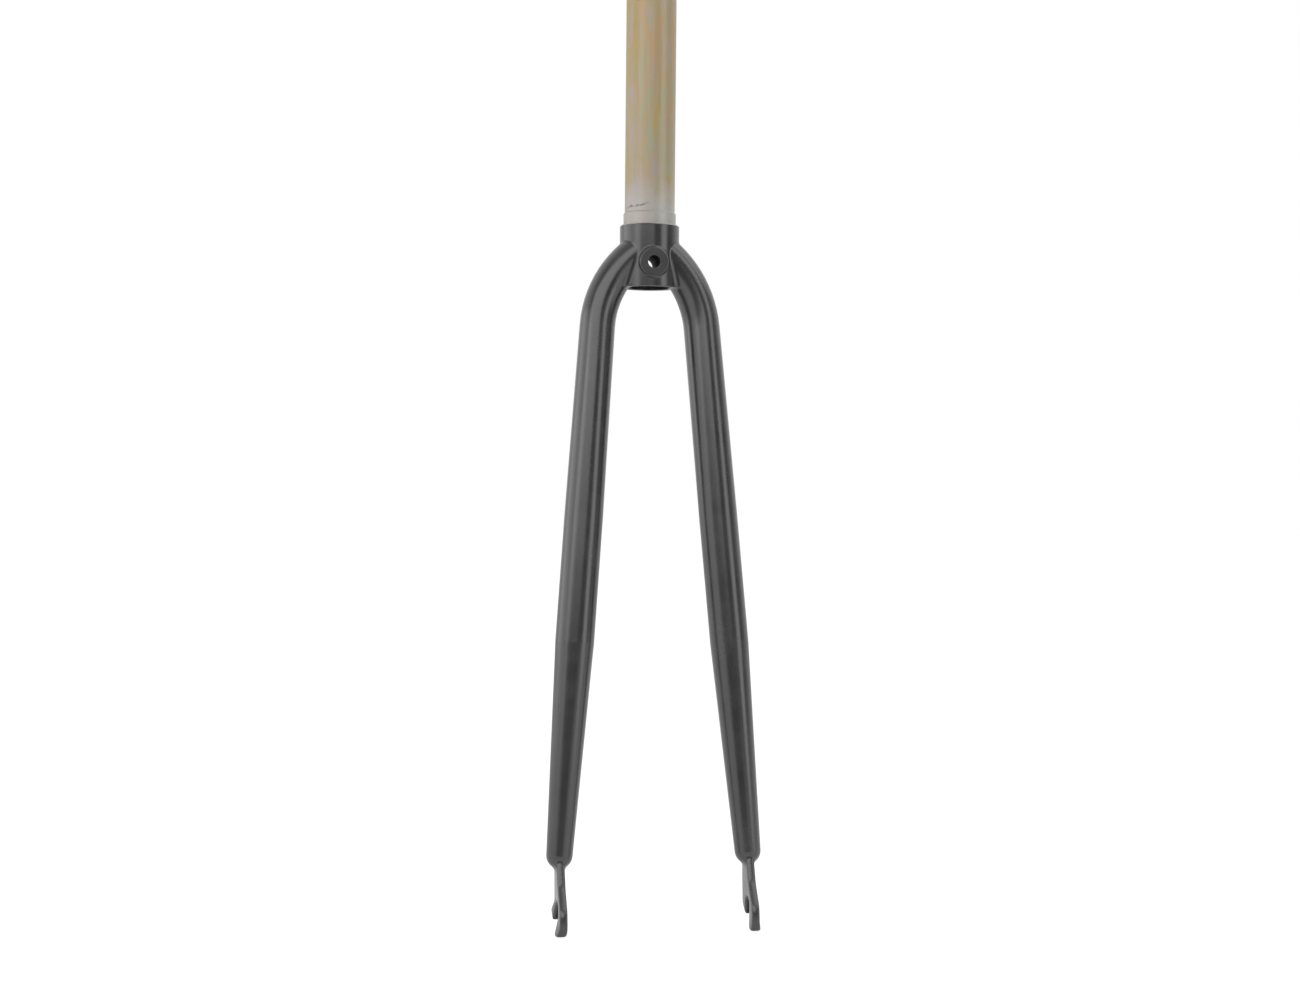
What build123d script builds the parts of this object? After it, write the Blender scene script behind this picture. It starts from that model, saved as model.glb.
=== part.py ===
from build123d import *
import math
import os

# A rigid steel bicycle fork, in millimetres. The steerer stands upright along Z and the front is towards -Y.
# The origin is the centre of the shoulder that the crown race sits on. Left and right are the rider's, so
# the right side is towards -X. The right half is drawn, and the left half is its mirror image.

# Steerer tube, turned in one piece with the race seat and the base
steerer_diameter = 28.6
steerer_length = 220.0
steerer_bore = 25.4
steerer_chamfer = 0.6
butt_bore = 23.8
butt_height = 45.0
butt_taper = 20.0
race_seat_diameter = 30.0
race_seat_height = 6.5
race_seat_lead = 0.7
base_diameter = 34.0
base_height = 35.5
base_edge = 0.8

# Brake boss, set through the base from front to back
boss_share = 0.494
boss_proud = 1.0
boss_rise = 13.5
boss_edge = 0.6
brake_hole_diameter = 7.2
nut_recess_diameter = 9.6
nut_recess_depth = 24.0

# Wheel and steering geometry
axle_drop = 381.5
rake = 45.0
axle_lead = 6.5
dropout_spacing = 102.0

# Blades: an oval bend at the top, a round middle, and a taper to a rounded tip
root_rise = 10.5
blade_wall = 1.2
bend_radius = 58.0
bend_below_base = 22.5
bend_half_spread = 30.2
bend_width = 20.2
bend_depth = 23.6
bend_turn = 10.0
bend_end_share = 0.145
round_diameter = 21.8
round_start = 108.0
taper_start = 180.0
tip_diameter = 14.7
tip_outset = 0.5
tip_above_axle = 22.0

# Dropouts: a flat plate with an axle slot, let into the blade tip, with a retention lip
plate_thickness = 4.6
plate_bevel = 0.5
tab_ahead = 6.5
tab_inset = 5.0
tongue_width = 10.0
tongue_length = 11.0
slot_width = 9.2
slot_angle = 8.0
front_reach = 13.5
rear_reach = 13.0
front_prong = 20.5
rear_prong = 0.6
neck_ahead = 11.0
neck_height = 13.0
neck_blend = 12.0
front_corner = 7.0
rear_corner = 4.0
lip_width = 9.0
lip_height = 2.0

# Weld runs
crown_weld = 1.5
boss_weld = 0.9
weld_face_share = 0.7
weld_edge_share = 0.9
dropout_weld = 1.5

# The boss and the roots of the blades keep their places on the base.
boss_diameter = boss_share * base_diameter
boss_drop = base_height - boss_rise
blade_root_drop = base_height - root_rise
bend_drop = base_height + bend_below_base

# The blades lean forward in one plane, which puts the axle at the rake and a little ahead of the blade's line.
axle_below_root = axle_drop - blade_root_drop
axle_distance = math.hypot(rake, axle_below_root)
lean = math.atan2(rake, axle_below_root) - math.asin(axle_lead / axle_distance)
ahead_of_blade = (0, -math.cos(lean), math.sin(lean))
behind_blade = (0, math.cos(lean), -math.sin(lean))
blade_plane = Plane(origin=(0, 0, -blade_root_drop), x_dir=(-1, 0, 0), z_dir=behind_blade)

# The straight part of a blade, in the blade plane: x outwards and y upwards.
axle_height = -math.sqrt(axle_distance**2 - axle_lead**2)
bend_point = Vector(bend_half_spread, -(bend_drop - blade_root_drop) / math.cos(lean))
tip_point = Vector((dropout_spacing + plate_thickness) / 2 + tip_outset, axle_height + tip_above_axle)
straight_length = (tip_point - bend_point).length
splay = math.atan2(tip_point.X - bend_point.X, bend_point.Y - tip_point.Y)
shoulder_distance = straight_length - tip_diameter / 2

# The inner face of the right dropout, with x ahead of the axle and y up along the blade
dropout_face = Plane(origin=(-dropout_spacing / 2, -rake, -axle_drop), x_dir=ahead_of_blade, z_dir=(-1, 0, 0))

# The bend carries the blade's line inwards until it is well inside the base.
bend_end_spread = bend_end_share * base_diameter
bend_inset = (bend_half_spread - bend_end_spread) / math.cos(math.radians(bend_turn))
bend_angle = math.degrees(math.acos(math.cos(splay) - bend_inset / bend_radius) - splay)


def along_blade(distance):
    """Plane across the blade, with x outwards, at a distance down its straight part from the bend."""
    outwards = Vector(math.cos(splay), math.sin(splay))
    downwards = Vector(math.sin(splay), -math.cos(splay))
    place = bend_point + downwards * distance
    origin = blade_plane.from_local_coords(place)
    across = blade_plane.from_local_coords(place + outwards) - origin
    down = blade_plane.from_local_coords(place + downwards) - origin
    return Plane(origin=origin, x_dir=across, z_dir=down)


# The bend is turned a little about the blade's line, which brings its top end forward to the steerer's axis.
bend_plane = Plane(along_blade(0) * Rot(0, 0, bend_turn))


def bend_section(growth):
    """Oval face at the lower end of the bend, larger all round by the growth."""
    oval = Ellipse(bend_width / 2 + growth, bend_depth / 2 + growth)
    return bend_plane * oval


def blade_bend(growth=0.0):
    """Bent top of the blade, thicker all round by the growth."""
    bend_centre = bend_plane.origin - bend_plane.x_dir * bend_radius
    return revolve(bend_section(growth), Axis(bend_centre, bend_plane.y_dir), bend_angle)


def blade_straight(growth=0.0):
    """Straight part of the blade down to its tip, thicker all round by the growth."""
    round_radius = round_diameter / 2 + growth
    tip_radius = tip_diameter / 2 + growth
    upper = loft([bend_section(growth), along_blade(round_start) * Circle(round_radius)], ruled=True)
    on_top = (Align.CENTER, Align.CENTER, Align.MIN)
    middle = Cylinder(round_radius, taper_start - round_start, align=on_top)
    taper = Cone(round_radius, tip_radius, shoulder_distance - taper_start, align=on_top)
    return upper + along_blade(round_start) * middle + along_blade(taper_start) * taper


def blade_tip(growth=0.0):
    """Ball that closes the blade on the dropout, larger by the growth."""
    return along_blade(shoulder_distance) * Sphere(tip_diameter / 2 + growth)


def base_blank(growth=0.0):
    """Base of the steerer as a solid cylinder, which the blades are coped on, larger by the growth."""
    height = base_height + growth
    return Pos(0, 0, -height / 2) * Cylinder(base_diameter / 2 + growth, height)


def cross_cylinder(diameter, front, rear):
    """Cylinder along Y at the height of the brake hole, between two places."""
    blank = Cylinder(diameter / 2, rear - front)
    return Pos(0, (front + rear) / 2, -boss_drop) * Rot(90, 0, 0) * blank


def make_steerer():
    base_radius = base_diameter / 2
    steerer_radius = steerer_diameter / 2
    outline = [
        (butt_bore / 2, -base_height),
        (base_radius, -base_height),
        (base_radius, -base_edge),
        (base_radius - base_edge, 0),
        (race_seat_diameter / 2, 0),
        (race_seat_diameter / 2, race_seat_height),
        (steerer_radius, race_seat_height + race_seat_lead),
        (steerer_radius, steerer_length - steerer_chamfer),
        (steerer_radius - steerer_chamfer, steerer_length),
        (steerer_bore / 2, steerer_length),
        (steerer_bore / 2, butt_height + butt_taper),
        (butt_bore / 2, butt_height),
    ]
    profile = make_face(Plane.XZ * Polyline(*outline, close=True))
    turned = revolve(profile, Axis.Z)
    return turned - cross_cylinder(boss_diameter, -base_diameter, base_diameter)


def boss_blank(growth=0.0):
    """Brake boss as a solid cylinder, thicker by the growth."""
    boss_end = base_diameter / 2 + boss_proud
    return cross_cylinder(boss_diameter + 2 * growth, -boss_end, boss_end)


def make_brake_boss():
    boss_end = base_diameter / 2 + boss_proud
    boss = boss_blank()
    rims = boss.edges().filter_by(GeomType.CIRCLE)
    boss = chamfer(rims, boss_edge)
    boss -= cross_cylinder(brake_hole_diameter, -base_diameter, base_diameter)
    return boss - cross_cylinder(nut_recess_diameter, boss_end - nut_recess_depth, base_diameter)


def tab_blank(growth=0.0):
    """Top of the dropout where the blade tip meets it, thicker on both faces by the growth."""
    outline = Pos(-axle_lead, tip_above_axle) * Rectangle(2 * tab_ahead, 2 * tab_inset)
    return extrude(dropout_face.offset(-growth) * outline, plate_thickness + 2 * growth)


def make_dropout():
    """Right dropout: a slotted plate, its lip, which rises towards the lower edge, and its tongue."""
    tab_top = tip_above_axle + tab_inset
    corners = [
        (-rear_reach, tab_top),
        (-rear_reach, -rear_prong),
        (front_reach, -front_prong),
        (front_reach, 0),
        (neck_ahead - axle_lead, neck_height),
        (tab_ahead - axle_lead, tab_top),
    ]
    plate = make_face(Polyline(*corners, close=True))
    rounding = [rear_corner, front_corner, neck_blend, neck_blend]
    for corner, radius in zip(corners[1:5], rounding):
        vertex = plate.vertices().sort_by_distance((*corner, 0))[0]
        plate = fillet(vertex, radius)
    slot_length = front_prong + rear_prong + slot_width
    slot = Rot(0, 0, -slot_angle) * Pos(0, -slot_length / 2) * Rectangle(slot_width, slot_length)
    slot += Circle(slot_width / 2)
    plate -= slot
    dropout = extrude(plate, plate_thickness)
    dropout = chamfer(dropout.edges().group_by(Axis.Z)[0], plate_bevel)
    lower_edge = Line(corners[1], corners[2])
    along_edge = lower_edge % 0
    lip_plane = Plane(lower_edge @ 0, x_dir=along_edge.rotate(Axis.Z, 90), z_dir=along_edge)
    lip_top = plate_thickness + lip_height
    lip_profile = Polyline((0, plate_thickness), (lip_width, plate_thickness), (0, lip_top), close=True)
    lip = extrude(lip_plane * make_face(lip_profile), lower_edge.length)
    dropout += lip & extrude(plate, lip_top)
    tongue = Pos(-axle_lead, tab_top + tongue_length / 2) * Rectangle(tongue_width, tongue_length)
    dropout += extrude(tongue, plate_thickness)
    return dropout_face * dropout


def make_blade(dropout):
    outer = blade_bend() + blade_straight() + blade_tip()
    inner = blade_bend(-blade_wall) + blade_straight(-blade_wall)
    return outer - inner - base_blank() - dropout


def weld_run(first, second, first_grown, second_grown, leg):
    """Weld metal in the corner between two pieces: where both are near, with a flat face across it."""
    run = (first_grown & second_grown) - first - second
    outside = []
    for edge in run.edges():
        middle = edge @ 0.5
        if min(first.distance_to(middle), second.distance_to(middle)) > weld_edge_share * leg:
            outside.append(edge)
    return chamfer(outside, weld_face_share * leg)


def make_crown_weld(boss_rings):
    """Weld that joins the right blade to the side and the lower rim of the base, clear of the boss."""
    grown_base = base_blank(crown_weld)
    run = weld_run(base_blank(), blade_bend(), grown_base, blade_bend(crown_weld), crown_weld)
    run -= Cylinder(butt_bore / 2, 2 * (base_height + crown_weld))
    return run - boss_blank() - boss_rings


def make_boss_welds():
    """Weld rings round the front and rear ends of the boss."""
    rings = weld_run(base_blank(), boss_blank(), base_blank(boss_weld), boss_blank(boss_weld), boss_weld)
    return rings.solids().sort_by(Axis.Y)


def make_dropout_weld(dropout):
    """Weld run on both faces of the right dropout, along the rounded tip of the blade."""
    run = weld_run(blade_tip(), tab_blank(), blade_tip(dropout_weld), tab_blank(dropout_weld), dropout_weld)
    return run - dropout


def main():
    os.makedirs("parts", exist_ok=True)
    dropout = make_dropout()
    boss_rings = make_boss_welds()
    pieces = {
        "steerer_tube": make_steerer(),
        "brake_boss": make_brake_boss(),
        "front_boss_weld": boss_rings[0],
        "rear_boss_weld": boss_rings[1],
    }
    right_side = {
        "blade": make_blade(dropout),
        "dropout": dropout,
        "crown_weld": make_crown_weld(boss_rings),
        "dropout_weld": make_dropout_weld(dropout),
    }
    for name, piece in right_side.items():
        pieces[f"right_{name}"] = piece
        pieces[f"left_{name}"] = mirror(piece, Plane.YZ)
    for name, piece in pieces.items():
        export_step(piece, f"parts/{name}.step")


main()
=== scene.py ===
import math

import bpy
from mathutils import Matrix, Vector
from mathutils.bvhtree import BVHTree


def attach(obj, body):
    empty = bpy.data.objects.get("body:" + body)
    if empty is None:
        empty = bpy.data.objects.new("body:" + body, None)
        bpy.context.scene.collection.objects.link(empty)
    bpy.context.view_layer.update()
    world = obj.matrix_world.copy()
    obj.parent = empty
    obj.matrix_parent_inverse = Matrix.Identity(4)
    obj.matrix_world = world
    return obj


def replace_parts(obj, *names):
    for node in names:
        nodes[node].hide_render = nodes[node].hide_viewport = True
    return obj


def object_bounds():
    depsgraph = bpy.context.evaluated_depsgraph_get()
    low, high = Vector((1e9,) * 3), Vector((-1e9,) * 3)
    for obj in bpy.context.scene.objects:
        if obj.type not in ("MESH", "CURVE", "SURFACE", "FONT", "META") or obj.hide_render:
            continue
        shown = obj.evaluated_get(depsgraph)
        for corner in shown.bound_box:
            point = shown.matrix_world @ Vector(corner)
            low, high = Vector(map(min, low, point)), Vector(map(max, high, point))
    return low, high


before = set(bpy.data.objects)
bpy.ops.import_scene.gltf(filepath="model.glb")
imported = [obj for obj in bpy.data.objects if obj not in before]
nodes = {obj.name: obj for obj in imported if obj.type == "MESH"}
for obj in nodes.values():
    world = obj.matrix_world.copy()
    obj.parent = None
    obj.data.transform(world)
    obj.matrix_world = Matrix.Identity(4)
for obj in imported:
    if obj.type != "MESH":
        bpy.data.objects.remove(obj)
cad_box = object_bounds()
scene = bpy.context.scene

MM = 0.001

# Camera of the photograph, fitted to its outlines
CAMERA_PLACE = (-0.17746, -1.07164, -0.13435)
CAMERA_RIGHT = (0.98630, -0.16469, 0.00908)
CAMERA_UP = (-0.00554, 0.02197, 0.99974)
CAMERA_SIDE = (-0.165, -0.986, 0.0)  # level direction from the fork to the camera
LENS = 52.40
SENSOR_WIDTH = 36.0

# Base of the steerer, brake boss and rounded tip of the left blade, in millimetres
BASE_RADIUS = 17.0
BASE_HEIGHT = 35.5
BORE_RADIUS = 11.9
BOSS_DROP = 22.0  # from the shoulder to the axis of the brake hole
TIP_RADIUS = 7.35
TIP_CENTRE = (53.231, -35.392, -353.038)

# Weld runs, in millimetres
CROWN_FILLET = 3.6
CROWN_DROP = 24.0  # from the shoulder to the middle of the seam
CROWN_REACH = 34.0  # farthest that the seam may lie from its middle
BOSS_FILLET = 1.5
BOSS_REACH = 13.0
TIP_FILLET = 6.0
PROUD = 0.05  # height of the edges of a fillet over the surface
SUNK = 0.15  # depth of its rim below the surface
FEATHER = 0.25  # run from the edge out to the rim
DEEPEST_CORNER = 1.6  # depth of its back corner, in radii of the fillet

# Steps in the making of the weld runs
FACE_STEPS = 10
SEAM_STEPS = 240
SEAM_WINDOW = 4  # neighbours on each side that a place is averaged with
SEARCH_STEPS = 160
HALVINGS = 24

# Dropouts with rounded edges
DROPOUT_VOXEL = 0.35  # millimetres
DROPOUT_SMOOTHING = 65
SMOOTHING_FACTOR = 0.5
DROPOUT_SHARE = 0.3  # share of the faces that is kept

# Both finishes
NOISE_SPAN = (0.3, 0.7)  # most values of a noise lie between these
SPECULAR = 0.9
RELIEF_STRENGTH = 0.012
RELIEF_DEPTH = 0.2  # millimetres

# Satin black paint, with linear colours
PAINT_RAMP = ((0.30, (0.018, 0.018, 0.0192)), (0.72, (0.026, 0.026, 0.0272)))  # noise and colour
PAINT_ROUGHNESS = (0.22, 0.28)
PEEL_RELIEF = 0.8
DUST_RELIEF = 0.2
DUST_COLOUR = (0.055, 0.055, 0.056)
DUST_TURN = (0.66, 0.78)  # noise where a speck begins and where it is full
DUST_SHARE = 0.25
# Painted shade: colour that darkens the paint deep in the brake hole
BORE_SHADE_COLOUR = (0.004, 0.004, 0.004)
BORE_ROUGHNESS = 0.9
BORE_RIM = (4.8, 5.1)  # end of the painted shade in the brake hole, in millimetres from its axis
BORE_MOUTH = (17.2, 17.7)  # and in millimetres from the middle of the steerer
UNDERSIDE_ROUGHNESS = 0.65
UNDERSIDE_RISE = (0.05, 0.15)  # millimetres above the lower end of the base
EDGE_SOFTENING = 0.6  # millimetres
EDGE_SAMPLES = 6

# Bare steel, with linear colours
STEEL_RAMP = (  # noise and colour
    (0.38, (0.385, 0.255, 0.130)),
    (0.47, (0.330, 0.270, 0.178)),
    (0.56, (0.324, 0.268, 0.165)),
    (0.64, (0.352, 0.264, 0.088)),
)
STEEL_PALE_RAMP = (
    (0.36, (0.355, 0.310, 0.298)),
    (0.52, (0.372, 0.352, 0.328)),
    (0.66, (0.345, 0.352, 0.325)),
)
STEEL_GOLD = (0.385, 0.275, 0.078)
STEEL_ROSE = (0.335, 0.272, 0.240)
STEEL_GREEN = (0.292, 0.284, 0.188)
STEEL_DULL = (0.255, 0.222, 0.150)
STEEL_UPPER_TINT = (1.0, 0.965, 0.84)
STEEL_METALLIC = 0.45
STEEL_ROUGHNESS = (0.40, 0.54)
STEEL_RELIEF = 0.6
GLINT_COLOUR = (0.44, 0.40, 0.32)
GLINT_TURN = (0.35, 0.7)  # noise where a glint begins and where it is full
GLINT_SHARE = 0.2

# Places on the steerer, in millimetres above the shoulder
UPPER_TINT_RISE = (30.0, 90.0)
PALE_RISE = (10.0, 27.0)
PALE_WANDER = 7.0
PAINT_EDGE = (-0.55, -0.35)
PAINT_EDGE_WANDER = 0.2

# Dark mark on the steerer, with places and widths in millimetres
SCRATCH_COLOUR = (0.10, 0.095, 0.09)
SCRATCH_HEIGHT = 9.9  # above the shoulder
SCRATCH_MIDDLE = -6.8  # to the right of the axis, for the camera
SCRATCH_SLOPE = 0.15
SCRATCH_WANDER = 1.6
SCRATCH_EDGE = (0.1, 0.9)  # above and below its line
SCRATCH_END = (5.5, 7.5)  # to each side of its middle
SCRATCH_FRONT = (-4.0, -2.0)  # along Y
SCRATCH_TURN = (0.42, 0.56)  # noise where the mark is faintest and where it is darkest
SCRATCH_SHARE = (0.15, 0.85)

# White floor and studio
FLOOR_SIZE = 6.0
FLOOR_GAP = 0.5  # millimetres
FLOOR_PALE = 0.9
FLOOR_DARK = 0.12
FLOOR_GLOW = 1.15
FLOOR_GLOW_SHARE = 0.8
FLOOR_DARK_START = (0.22, 0.40)  # metres in front of the fork
FLOOR_DARK_SPREAD = (0.30, 0.60)  # metres to the side for each metre in front
FLOOR_DARK_NEAREST = 0.05  # metres in front that the spread is reckoned from
ROOM_DARK = 0.12
ROOM_BACK = 1.0
ROOM_BACK_TURN = (-0.35, 0.45)
ROOM_TOP = 0.7
ROOM_TOP_TURN = (0.55, 0.9)
WHITE = (1.0, 1.0, 1.0)

# Soft lights: turned to the left and raised, in degrees, width and height in metres, and radiance
SOFTBOXES = {
    "left_softbox": (86, 9, 5.0, 1.35, 1.15),
    "front_softbox": (29, 26, 4.7, 1.7, 2.0),
    "right_softbox": (-50, 10, 1.2, 2.4, 1.9),
    "high_softbox": (-65, 50, 3.6, 2.2, 1.2),
}
LIT_PLACE = (0.0, 0.0, -0.1)
LIGHT_DISTANCE = 3.0


def link(obj):
    scene.collection.objects.link(obj)
    return obj


# Node materials


def grey(level):
    return level, level, level


def metres(span, zero=0.0):
    """Span in millimetres from a zero, in metres."""
    return [(zero + value) * MM for value in span]


class Nodes:
    """A node tree that is built by short calls."""

    def __init__(self, tree):
        self.tree = tree
        tree.nodes.clear()

    def add(self, kind, inputs=None, **settings):
        node = self.tree.nodes.new("ShaderNode" + kind)
        for name, value in settings.items():
            setattr(node, name, value)
        for name, value in (inputs or {}).items():
            self.set(node.inputs[name], value)
        return node

    def set(self, socket, value):
        if isinstance(value, bpy.types.NodeSocket):
            self.tree.links.new(value, socket)
        elif socket.type == "RGBA":
            socket.default_value = (*value, 1.0)
        else:
            socket.default_value = value

    def object_place(self):
        return self.add("TexCoord").outputs["Object"]

    def split(self, vector):
        return self.add("SeparateXYZ", {"Vector": vector}).outputs

    def noise(self, scale, detail=4.0, roughness=0.55, stretch=(1, 1, 1)):
        """Noise in object coordinates that are scaled along each axis first."""
        where = self.add("Mapping", {"Vector": self.object_place(), "Scale": stretch}).outputs["Vector"]
        inputs = {"Vector": where, "Scale": scale, "Detail": detail, "Roughness": roughness}
        return self.add("TexNoise", inputs).outputs["Fac"]

    def ramp(self, value, *stops):
        """Colour ramp of (position, colour) stops."""
        node = self.add("ValToRGB", {"Fac": value})
        elements = node.color_ramp.elements
        while len(elements) < len(stops):
            elements.new(0.5)
        for element, (position, colour) in zip(elements, stops):
            element.position = position
            element.color = (*colour, 1.0)
        return node.outputs["Color"]

    def range(self, value, low, high, to_low, to_high, smooth=False):
        kind = "SMOOTHSTEP" if smooth else "LINEAR"
        inputs = {"Value": value, "From Min": low, "From Max": high, "To Min": to_low, "To Max": to_high}
        return self.add("MapRange", inputs, interpolation_type=kind).outputs["Result"]

    def fade(self, value, span, smooth=False):
        """Share that falls from 1 at the first value of a span to 0 at the second."""
        return self.range(value, *span, 1.0, 0.0, smooth)

    def wander(self, value, noise, most):
        """Value that is moved to and fro by a noise."""
        return self.math("ADD", value, self.range(noise, *NOISE_SPAN, -most, most))

    def mix(self, share, first, second, blend="MIX"):
        node = self.add("Mix", data_type="RGBA", blend_type=blend)
        self.set(node.inputs[0], share)
        self.set(node.inputs[6], first)
        self.set(node.inputs[7], second)
        return node.outputs[2]

    def dot(self, vector, direction):
        return self.add("VectorMath", {0: vector, 1: direction}, operation="DOT_PRODUCT").outputs["Value"]

    def math(self, operation, *values):
        return self.add("Math", dict(enumerate(values)), operation=operation).outputs["Value"]


def new_material(name):
    material = bpy.data.materials.new(name)
    material.use_nodes = True
    return material, Nodes(material.node_tree)


def finish_surface(n, colour, roughness, height, metallic=0.0, soft_edges=False):
    """Shader with a fine relief, and with softened edges where asked, wired to the output."""
    bump = n.add("Bump", {"Height": height, "Strength": RELIEF_STRENGTH, "Distance": RELIEF_DEPTH * MM})
    if soft_edges:
        soft = n.add("Bevel", {"Radius": EDGE_SOFTENING * MM}, samples=EDGE_SAMPLES)
        n.set(bump.inputs["Normal"], soft.outputs["Normal"])
    shader = n.add("BsdfPrincipled", {
        "Base Color": colour,
        "Roughness": roughness,
        "Metallic": metallic,
        "Specular IOR Level": SPECULAR,
        "Normal": bump.outputs["Normal"],
    })
    n.add("OutputMaterial", {"Surface": shader.outputs["BSDF"]})


def paint_parts(n):
    """Colour, roughness and bump height of the satin black paint."""
    mottle = n.noise(55.0, detail=3.0)
    peel = n.noise(620.0, detail=2.0, roughness=0.5)
    dust = n.noise(1900.0, detail=1.0, roughness=0.6)
    colour = n.ramp(mottle, *PAINT_RAMP)
    colour = n.mix(n.range(dust, *DUST_TURN, 0.0, DUST_SHARE), colour, DUST_COLOUR)
    roughness = n.range(mottle, *NOISE_SPAN, *PAINT_ROUGHNESS)
    height = n.math("ADD", n.math("MULTIPLY", peel, PEEL_RELIEF), n.math("MULTIPLY", dust, DUST_RELIEF))
    return colour, roughness, height


def make_paint():
    material, n = new_material("satin_black_paint")
    finish_surface(n, *paint_parts(n))
    return material


def make_paint_with_bore_shade():
    """Black paint that is thin and dull in the brake hole, with painted shade that darkens it there."""
    material, n = new_material("satin_black_paint_with_painted_bore_shade")
    colour, roughness, height = paint_parts(n)
    where = n.split(n.object_place())
    above = n.math("ADD", where["Z"], BOSS_DROP * MM)
    squares = n.math("ADD", n.math("POWER", where["X"], 2.0), n.math("POWER", above, 2.0))
    in_hole = n.fade(n.math("SQRT", squares), metres(BORE_RIM))
    in_depth = n.fade(n.math("ABSOLUTE", where["Y"]), metres(BORE_MOUTH))
    shaded_dull_bore = n.math("MULTIPLY", in_hole, in_depth)
    # painted shade darkens the colour deep in the brake hole; the roughness below makes the paint there
    # dull
    colour = n.mix(shaded_dull_bore, colour, BORE_SHADE_COLOUR)
    roughness = n.mix(shaded_dull_bore, roughness, grey(BORE_ROUGHNESS))
    finish_surface(n, colour, roughness, height, soft_edges=True)
    return material


def steel_parts(n, where, height, patches):
    """Colour, roughness and bump height of the streaky turned steel, paler and greyer near the shoulder."""
    streaks = n.noise(1.0, detail=4.0, roughness=0.6, stretch=(330, 330, 14))
    fine = n.noise(1.0, detail=3.0, roughness=0.7, stretch=(1500, 1500, 40))
    warm = n.noise(1.0, detail=3.0, roughness=0.6, stretch=(120, 120, 26))
    cool = n.noise(1.3, detail=3.0, roughness=0.6, stretch=(105, 105, 40))
    colour = n.ramp(warm, *STEEL_RAMP)
    for noise, start, full, share, tint in (
        (cool, 0.53, 0.62, 0.8, STEEL_ROSE),
        (cool, 0.47, 0.38, 0.8, STEEL_GREEN),
        (streaks, 0.55, 0.65, 0.7, STEEL_GOLD),
        (streaks, 0.43, 0.32, 0.5, STEEL_DULL),
    ):
        colour = n.mix(n.range(noise, start, full, 0.0, share), colour, tint)
    upper = n.range(height, *metres(UPPER_TINT_RISE), 0.0, 1.0)
    colour = n.mix(upper, colour, STEEL_UPPER_TINT, "MULTIPLY")
    pale_height = n.wander(height, patches, PALE_WANDER * MM)
    pale_share = n.fade(pale_height, metres(PALE_RISE), smooth=True)
    colour = n.mix(pale_share, colour, n.ramp(patches, *STEEL_PALE_RAMP))
    colour = n.mix(n.range(fine, *GLINT_TURN, 0.0, GLINT_SHARE), colour, GLINT_COLOUR)
    colour = n.mix(scratch_mark(n, where, height, streaks, patches), colour, SCRATCH_COLOUR)
    roughness = n.range(streaks, *NOISE_SPAN, *STEEL_ROUGHNESS)
    return colour, roughness, n.math("MULTIPLY", fine, STEEL_RELIEF)


def scratch_mark(n, where, height, streaks, patches):
    """Share of a thin broken dark mark across the front of the steerer, above the race seat."""
    across = n.math("SUBTRACT", n.dot(where, CAMERA_RIGHT), SCRATCH_MIDDLE * MM)
    tilted = n.math("SUBTRACT", height, n.math("MULTIPLY", across, SCRATCH_SLOPE))
    level = n.wander(tilted, patches, SCRATCH_WANDER * MM)
    away = n.math("ABSOLUTE", n.math("SUBTRACT", level, SCRATCH_HEIGHT * MM))
    thin = n.fade(away, metres(SCRATCH_EDGE), smooth=True)
    reach = n.fade(n.math("ABSOLUTE", across), metres(SCRATCH_END))
    front = n.fade(n.split(where)["Y"], metres(SCRATCH_FRONT))
    broken = n.range(streaks, *SCRATCH_TURN, *SCRATCH_SHARE)
    return n.math("MULTIPLY", n.math("MULTIPLY", thin, reach), n.math("MULTIPLY", front, broken))


def make_steerer_finish():
    """Bare turned steel above the shoulder, black paint on the base below it, dull on the underside."""
    material, n = new_material("turned_steel_and_paint")
    where = n.object_place()
    height = n.split(where)["Z"]
    patches = n.noise(1.0, detail=4.0, roughness=0.65, stretch=(60, 60, 45))
    steel, steel_roughness, steel_height = steel_parts(n, where, height, patches)
    paint, paint_roughness, paint_height = paint_parts(n)
    edge_height = n.wander(height, patches, PAINT_EDGE_WANDER * MM)
    bare = n.range(edge_height, *metres(PAINT_EDGE), 0.0, 1.0)
    under = n.fade(height, metres(UNDERSIDE_RISE, -BASE_HEIGHT))
    roughness = n.mix(bare, paint_roughness, steel_roughness)
    roughness = n.mix(under, roughness, grey(UNDERSIDE_ROUGHNESS))
    relief = n.mix(bare, paint_height, steel_height)
    metallic = n.math("MULTIPLY", bare, STEEL_METALLIC)
    finish_surface(n, n.mix(bare, paint, steel), roughness, relief, metallic)
    return material


# Weld runs: a ball that is rolled along the seam of two pieces leaves a hollow fillet


def tree_of(mesh):
    return BVHTree.FromPolygons([v.co for v in mesh.vertices], [p.vertices for p in mesh.polygons])


def all_round():
    return [2 * math.pi * step / SEAM_STEPS for step in range(SEAM_STEPS)]


def last_touch(touches, low, high):
    """Largest value between low, which touches, and high, which doesn't, that still touches."""
    for _ in range(HALVINGS):
        middle = (low + high) / 2
        if touches(middle):
            low = middle
        else:
            high = middle
    return low


def ball_at(centre, touch, tree):
    """Centre of the ball and its directions to the two pieces that it touches."""
    other_touch = tree.find_nearest(centre)[0]
    return centre, (touch - centre).normalized(), (other_touch - centre).normalized()


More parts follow.
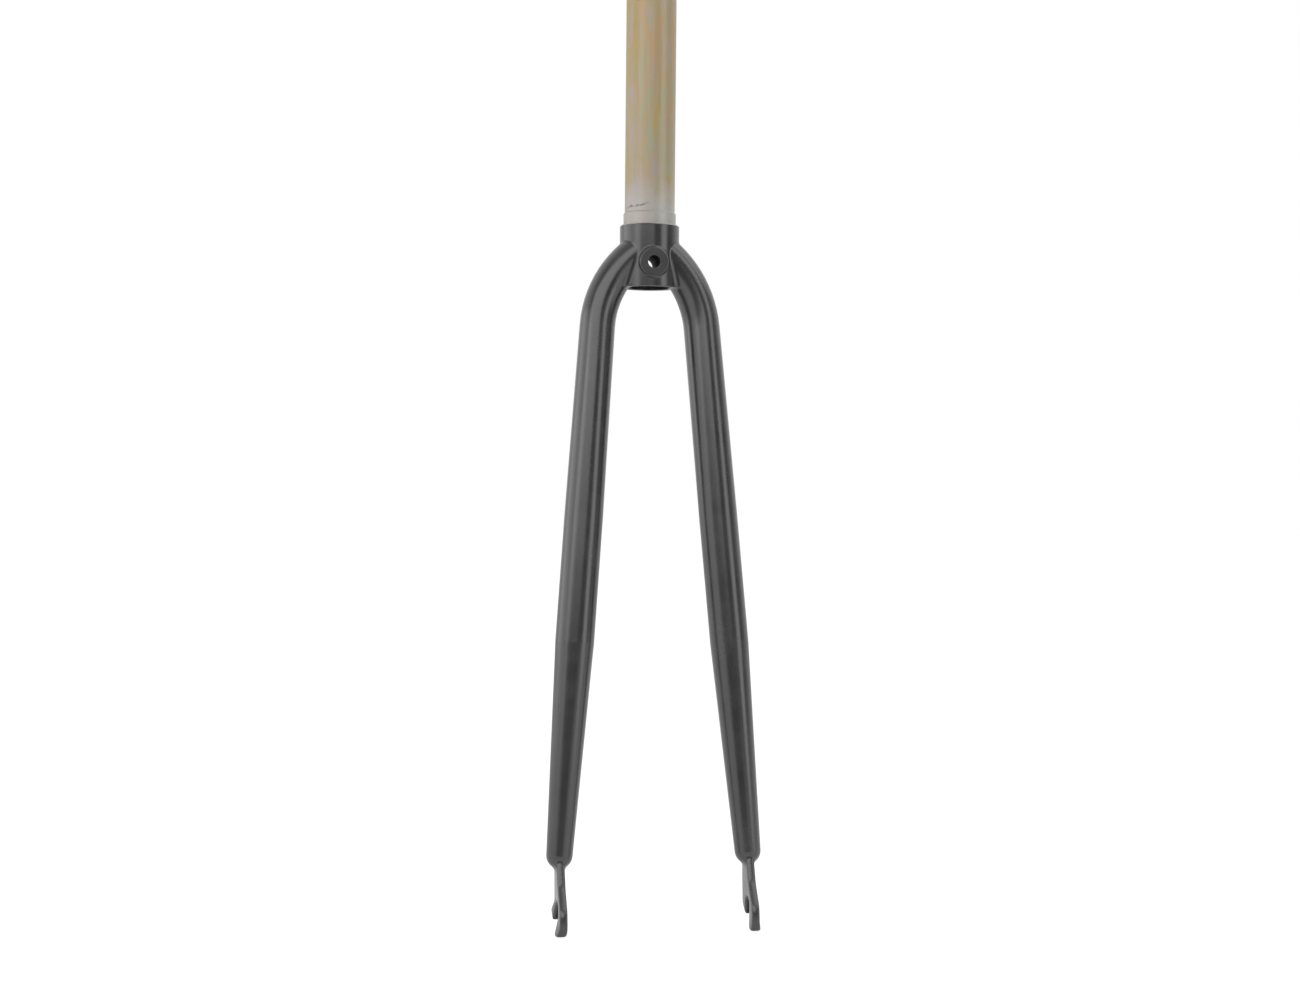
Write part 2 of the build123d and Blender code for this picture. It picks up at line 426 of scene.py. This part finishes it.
def on_base(around, along, ball):
    """Centre of a ball that touches the base, and the point it touches, in metres.

    Along runs down the side from the shoulder, round the lower rim and then inwards below the base.
    """
    outwards = Vector((math.sin(around), -math.cos(around), 0))
    rim_turn = ball * math.pi / 2
    if along < BASE_HEIGHT:
        touch = outwards * BASE_RADIUS + Vector((0, 0, -along))
        return (touch + outwards * ball) * MM, touch * MM
    if along < BASE_HEIGHT + rim_turn:
        turn = (along - BASE_HEIGHT) / ball
        touch = outwards * BASE_RADIUS + Vector((0, 0, -BASE_HEIGHT))
        away = outwards * math.cos(turn) + Vector((0, 0, -math.sin(turn)))
        return (touch + away * ball) * MM, touch * MM
    inwards = along - BASE_HEIGHT - rim_turn
    touch = outwards * (BASE_RADIUS - inwards) + Vector((0, 0, -BASE_HEIGHT))
    return (touch + Vector((0, 0, -ball))) * MM, touch * MM


def ball_on_base(tree, middle, direction, ball, reach):
    """Ball on the base, as far in one direction from the middle as it still touches the other piece."""
    lowest = BASE_HEIGHT + ball * math.pi / 2 + BASE_RADIUS - BORE_RADIUS

    def place(far):
        around = middle[0] + far * math.cos(direction) / BASE_RADIUS
        return around, middle[1] - far * math.sin(direction)

    def touches(far):
        centre, _ = on_base(*place(far), ball)
        return tree.find_nearest(centre)[3] <= ball * MM

    tries = [reach * step / SEARCH_STEPS for step in range(SEARCH_STEPS, 0, -1)]
    inner = next(far for far in tries if ball <= place(far)[1] <= lowest and touches(far))
    far = last_touch(touches, inner, inner + reach / SEARCH_STEPS)
    return ball_at(*on_base(*place(far), ball), tree)


def ball_on_tip(tree, tip, around):
    """Ball on the rounded tip of a blade, as far round it from below as it still touches the dropout."""
    side = Vector((math.cos(around), math.sin(around), 0))

    def away(tilt):
        return side * math.sin(tilt) + Vector((0, 0, -math.cos(tilt)))

    def touches(tilt):
        centre = tip + away(tilt) * (TIP_RADIUS + TIP_FILLET) * MM
        return tree.find_nearest(centre)[3] <= TIP_FILLET * MM

    outwards = away(last_touch(touches, 0.0, math.pi / 2))
    centre = tip + outwards * (TIP_RADIUS + TIP_FILLET) * MM
    return ball_at(centre, tip + outwards * TIP_RADIUS * MM, tree)


def even_out(run):
    """Closed run of ball places, each averaged with its neighbours, because the meshes have facets."""
    evened = []
    for step in range(len(run)):
        near = [run[(step + k) % len(run)] for k in range(-SEAM_WINDOW, SEAM_WINDOW + 1)]
        centre, first, second = [sum(vectors, Vector()) / len(near) for vectors in zip(*near)]
        evened.append((centre, first.normalized(), second.normalized()))
    return evened


def feathered_edge(centre, here, there, ball):
    """Point and normal of a fillet's rim, run out past the touched point and sunk below the surface."""
    outwards = (here * here.dot(there) - there).normalized()
    return centre + (here * (ball + SUNK) + outwards * FEATHER) * MM, -here


def fillet_row(centre, first, second, ball):
    """Points and normals round a fillet's section: rim, hollow face, rim and back corner."""
    angle = first.angle(second)
    row = [feathered_edge(centre, first, second, ball)]
    for part in range(FACE_STEPS + 1):
        share = part / FACE_STEPS
        a = math.sin((1 - share) * angle) / math.sin(angle)
        b = math.sin(share * angle) / math.sin(angle)
        direction = first * a + second * b
        row.append((centre + direction * (ball - PROUD) * MM, -direction))
    row.append(feathered_edge(centre, second, first, ball))
    inwards = (first + second).normalized()
    depth = min(1 / math.cos(angle / 2), DEEPEST_CORNER)
    row.append((centre + inwards * (ball * depth + SUNK) * MM, inwards))
    return row


def dress(piece):
    """Paint a piece and let it ride with the fork."""
    piece.data.materials.clear()
    piece.data.materials.append(paint)
    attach(piece, "root")
    return piece


def add_fillet(name, run, ball):
    """Closed ring of sections along a run of ball places, with exact normals on its hollow face."""
    rows = [fillet_row(*ball_place, ball) for ball_place in even_out(run)]
    width = len(rows[0])
    vertices = [point for row in rows for point, _ in row]
    normals = [normal for row in rows for _, normal in row]
    fronts, backs = [], []
    for step in range(len(rows)):
        here = step * width
        there = (step + 1) % len(rows) * width
        for k in range(width):
            after = (k + 1) % width
            side = fronts if k < width - 2 else backs
            side.append((here + k, there + k, there + after, here + after))
    mesh = bpy.data.meshes.new(name)
    mesh.from_pydata(vertices, [], fronts + backs)
    if sum(face.normal.dot(normals[face.vertices[0]]) for face in mesh.polygons[:len(fronts)]) < 0:
        mesh.flip_normals()
    mesh.shade_smooth()
    corner_normals = [normals[vertex] for face in mesh.polygons[:len(fronts)] for vertex in face.vertices]
    corner_normals += [Vector()] * (len(mesh.loops) - len(corner_normals))
    mesh.normals_split_custom_set(corner_normals)
    return dress(link(bpy.data.objects.new(name, mesh)))


def make_base_fillet(name, other, middle, ball, reach):
    """Hollow fillet between the base and another node, round the seam that encloses the middle place."""
    tree = tree_of(nodes[other].data)
    run = [ball_on_base(tree, middle, direction, ball, reach) for direction in all_round()]
    return add_fillet(name, run, ball)


def make_tip_fillet(name, dropout, sign):
    """Hollow fillet between the rounded tip of a blade and its dropout."""
    tree = tree_of(dropout.data)
    tip = Vector((sign * TIP_CENTRE[0], TIP_CENTRE[1], TIP_CENTRE[2])) * MM
    run = [ball_on_tip(tree, tip, around) for around in all_round()]
    return add_fillet(name, run, TIP_FILLET)


# Dropouts


def make_soft_dropout(name, dropout):
    """Dropout with its edges rounded over by the forming and the paint."""
    piece = link(bpy.data.objects.new(name, nodes[dropout].data.copy()))
    remesh = piece.modifiers.new("remesh", "REMESH")
    remesh.mode = "VOXEL"
    remesh.voxel_size = DROPOUT_VOXEL * MM
    smooth = piece.modifiers.new("smooth", "SMOOTH")
    smooth.factor = SMOOTHING_FACTOR
    smooth.iterations = DROPOUT_SMOOTHING
    thin_out = piece.modifiers.new("thin_out", "DECIMATE")
    thin_out.ratio = DROPOUT_SHARE
    shaped = piece.evaluated_get(bpy.context.evaluated_depsgraph_get())
    mesh = bpy.data.meshes.new_from_object(shaped)
    mesh.name = name
    mesh.shade_smooth()
    piece.modifiers.clear()
    piece.data = mesh
    return dress(piece)


# Finishes and pieces of the fork

paint = make_paint()
finishes = {
    "steerer_tube": make_steerer_finish(),
    "brake_boss": make_paint_with_bore_shade(),
}
for name, node in nodes.items():
    node.data.materials.clear()
    node.data.materials.append(finishes.get(name, paint))

for side, sign in (("right", -1), ("left", 1)):
    middle = (sign * math.pi / 2, CROWN_DROP)
    fillet = make_base_fillet(side + "_crown_fillet", side + "_blade", middle, CROWN_FILLET, CROWN_REACH)
    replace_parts(fillet, side + "_crown_weld")
    dropout = make_soft_dropout(side + "_soft_dropout", side + "_dropout")
    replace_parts(dropout, side + "_dropout")
    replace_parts(make_tip_fillet(side + "_tip_fillet", dropout, sign), side + "_dropout_weld")
for end, around in (("front", 0.0), ("rear", math.pi)):
    middle = (around, BOSS_DROP)
    fillet = make_base_fillet(end + "_boss_fillet", "brake_boss", middle, BOSS_FILLET, BOSS_REACH)
    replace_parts(fillet, end + "_boss_weld")


# Stage: a white floor, a white studio and soft lights


def make_floor():
    """White floor whose part in front of the fork is dark in reflections."""
    low = cad_box[0].z - FLOOR_GAP * MM
    corners = [(x * FLOOR_SIZE, y * FLOOR_SIZE, low) for x, y in ((-1, -1), (1, -1), (1, 1), (-1, 1))]
    mesh = bpy.data.meshes.new("floor")
    mesh.from_pydata(corners, [], [(0, 1, 2, 3)])
    floor = link(bpy.data.objects.new("floor", mesh))
    material, n = new_material("white_floor")
    where = n.object_place()
    ahead = n.dot(where, CAMERA_SIDE)
    aside = n.math("ABSOLUTE", n.dot(where, CAMERA_RIGHT))
    near = n.range(ahead, *FLOOR_DARK_START, 0.0, 1.0, smooth=True)
    spread = n.math("DIVIDE", aside, n.math("MAXIMUM", ahead, FLOOR_DARK_NEAREST))
    within = n.fade(spread, FLOOR_DARK_SPREAD, smooth=True)
    camera = n.add("LightPath").outputs["Is Camera Ray"]
    dark = n.math("MULTIPLY", n.math("MULTIPLY", near, within), n.math("SUBTRACT", 1.0, camera))
    diffuse = n.add("BsdfDiffuse", {"Color": n.mix(dark, grey(FLOOR_PALE), grey(FLOOR_DARK))})
    glow = n.add("Emission", {"Color": WHITE, "Strength": FLOOR_GLOW})
    seen = n.math("MULTIPLY", camera, FLOOR_GLOW_SHARE)
    mix = n.add("MixShader", {0: seen, 1: diffuse.outputs["BSDF"], 2: glow.outputs["Emission"]})
    n.add("OutputMaterial", {"Surface": mix.outputs["Shader"]})
    mesh.materials.append(material)


def make_world():
    """Studio that is white to the camera, and for its light brightest behind and above the fork."""
    world = bpy.data.worlds.new("studio")
    world.use_nodes = True
    scene.world = world
    n = Nodes(world.node_tree)
    direction = n.split(n.add("TexCoord").outputs["Generated"])
    behind = n.range(direction["Y"], *ROOM_BACK_TURN, ROOM_DARK, ROOM_BACK, smooth=True)
    overhead = n.range(direction["Z"], *ROOM_TOP_TURN, ROOM_DARK, ROOM_TOP, smooth=True)
    room = n.math("MAXIMUM", behind, overhead)
    paths = n.add("LightPath").outputs
    seen = n.math("MAXIMUM", paths["Is Camera Ray"], paths["Is Transmission Ray"])
    strength = n.range(seen, 0.0, 1.0, room, 1.0)
    background = n.add("Background", {"Color": WHITE, "Strength": strength})
    n.add("OutputWorld", {"Surface": background.outputs["Background"]})


def add_softbox(name, turn, rise, width, height, radiance):
    """Soft light that faces the fork."""
    turn, rise = math.radians(turn), math.radians(rise)
    level = Vector((-math.sin(turn), -math.cos(turn), 0))
    away = level * math.cos(rise) + Vector((0, 0, math.sin(rise)))
    data = bpy.data.lights.new(name, "AREA")
    data.shape = "RECTANGLE"
    data.size = width
    data.size_y = height
    data.energy = radiance * math.pi * width * height
    obj = link(bpy.data.objects.new(name, data))
    obj.location = Vector(LIT_PLACE) + away * LIGHT_DISTANCE
    obj.rotation_euler = away.to_track_quat("Z", "Y").to_euler()


def make_camera():
    data = bpy.data.cameras.new("camera")
    data.lens = LENS
    data.sensor_width = SENSOR_WIDTH
    camera = link(bpy.data.objects.new("camera", data))
    right, up = Vector(CAMERA_RIGHT), Vector(CAMERA_UP)
    axes = Matrix((right, up, right.cross(up))).transposed().to_4x4()
    camera.matrix_world = Matrix.Translation(CAMERA_PLACE) @ axes
    scene.camera = camera


make_floor()
make_world()
for name, values in SOFTBOXES.items():
    add_softbox(name, *values)
make_camera()

scene.view_settings.view_transform = "Standard"
